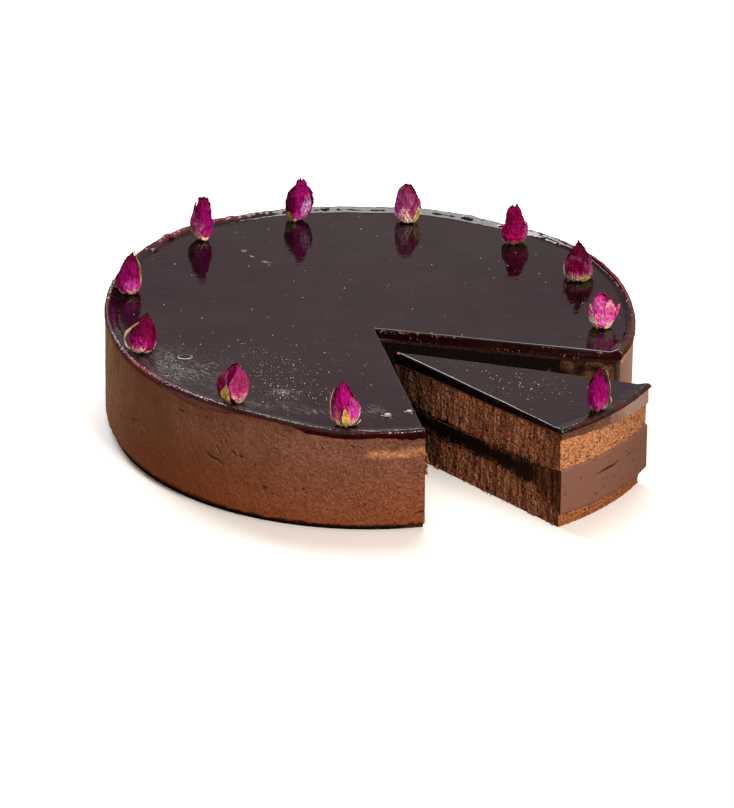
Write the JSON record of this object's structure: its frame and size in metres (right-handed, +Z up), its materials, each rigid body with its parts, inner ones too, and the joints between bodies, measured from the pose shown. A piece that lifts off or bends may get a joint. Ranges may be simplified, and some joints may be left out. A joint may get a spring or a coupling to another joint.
{
  "type": "chocolate torte",
  "caption": "Round layered chocolate mousse torte with a mirror glaze and dried rosebuds, cut open, with one slice drawn part of the way out.",
  "frame": {"origin": "on the floor, at the middle of the ring that the cake was set in, in the base sponge's flat underside", "axes": "+Z up through the cake; the cut gap and the drawn slice open towards +X and -Y, and the picture looks along +Y"},
  "size_m": [0.2594, 0.2564, 0.0792],
  "materials": {
    "sponge": "porous chocolate sponge, matt",
    "filling": "dark chocolate mousse, satin",
    "mousse": "chocolate mousse set against a film, satin with small pits",
    "glaze": "dark mirror glaze, wet gloss, crimson where thin",
    "rose": "dried rose petals, magenta with pale yellow-green sepals"
  },
  "bodies": {
    "root": {"cake_base_sponge": "sponge", "cake_filling": "filling", "cake_upper_sponge": "sponge", "cake_coat": "mousse", "cake_glaze": "glaze", "slice_base_sponge": "sponge", "slice_filling": "filling", "slice_upper_sponge": "sponge", "slice_top_mousse": "mousse", "slice_glaze": "glaze", "rosebud_01": "rose", "rosebud_02": "rose", "rosebud_03": "rose", "rosebud_04": "rose", "rosebud_05": "rose", "rosebud_06": "rose", "rosebud_07": "rose", "rosebud_08": "rose", "rosebud_09": "rose", "rosebud_10": "rose", "rosebud_11": "rose"}
  },
  "joints": []
}
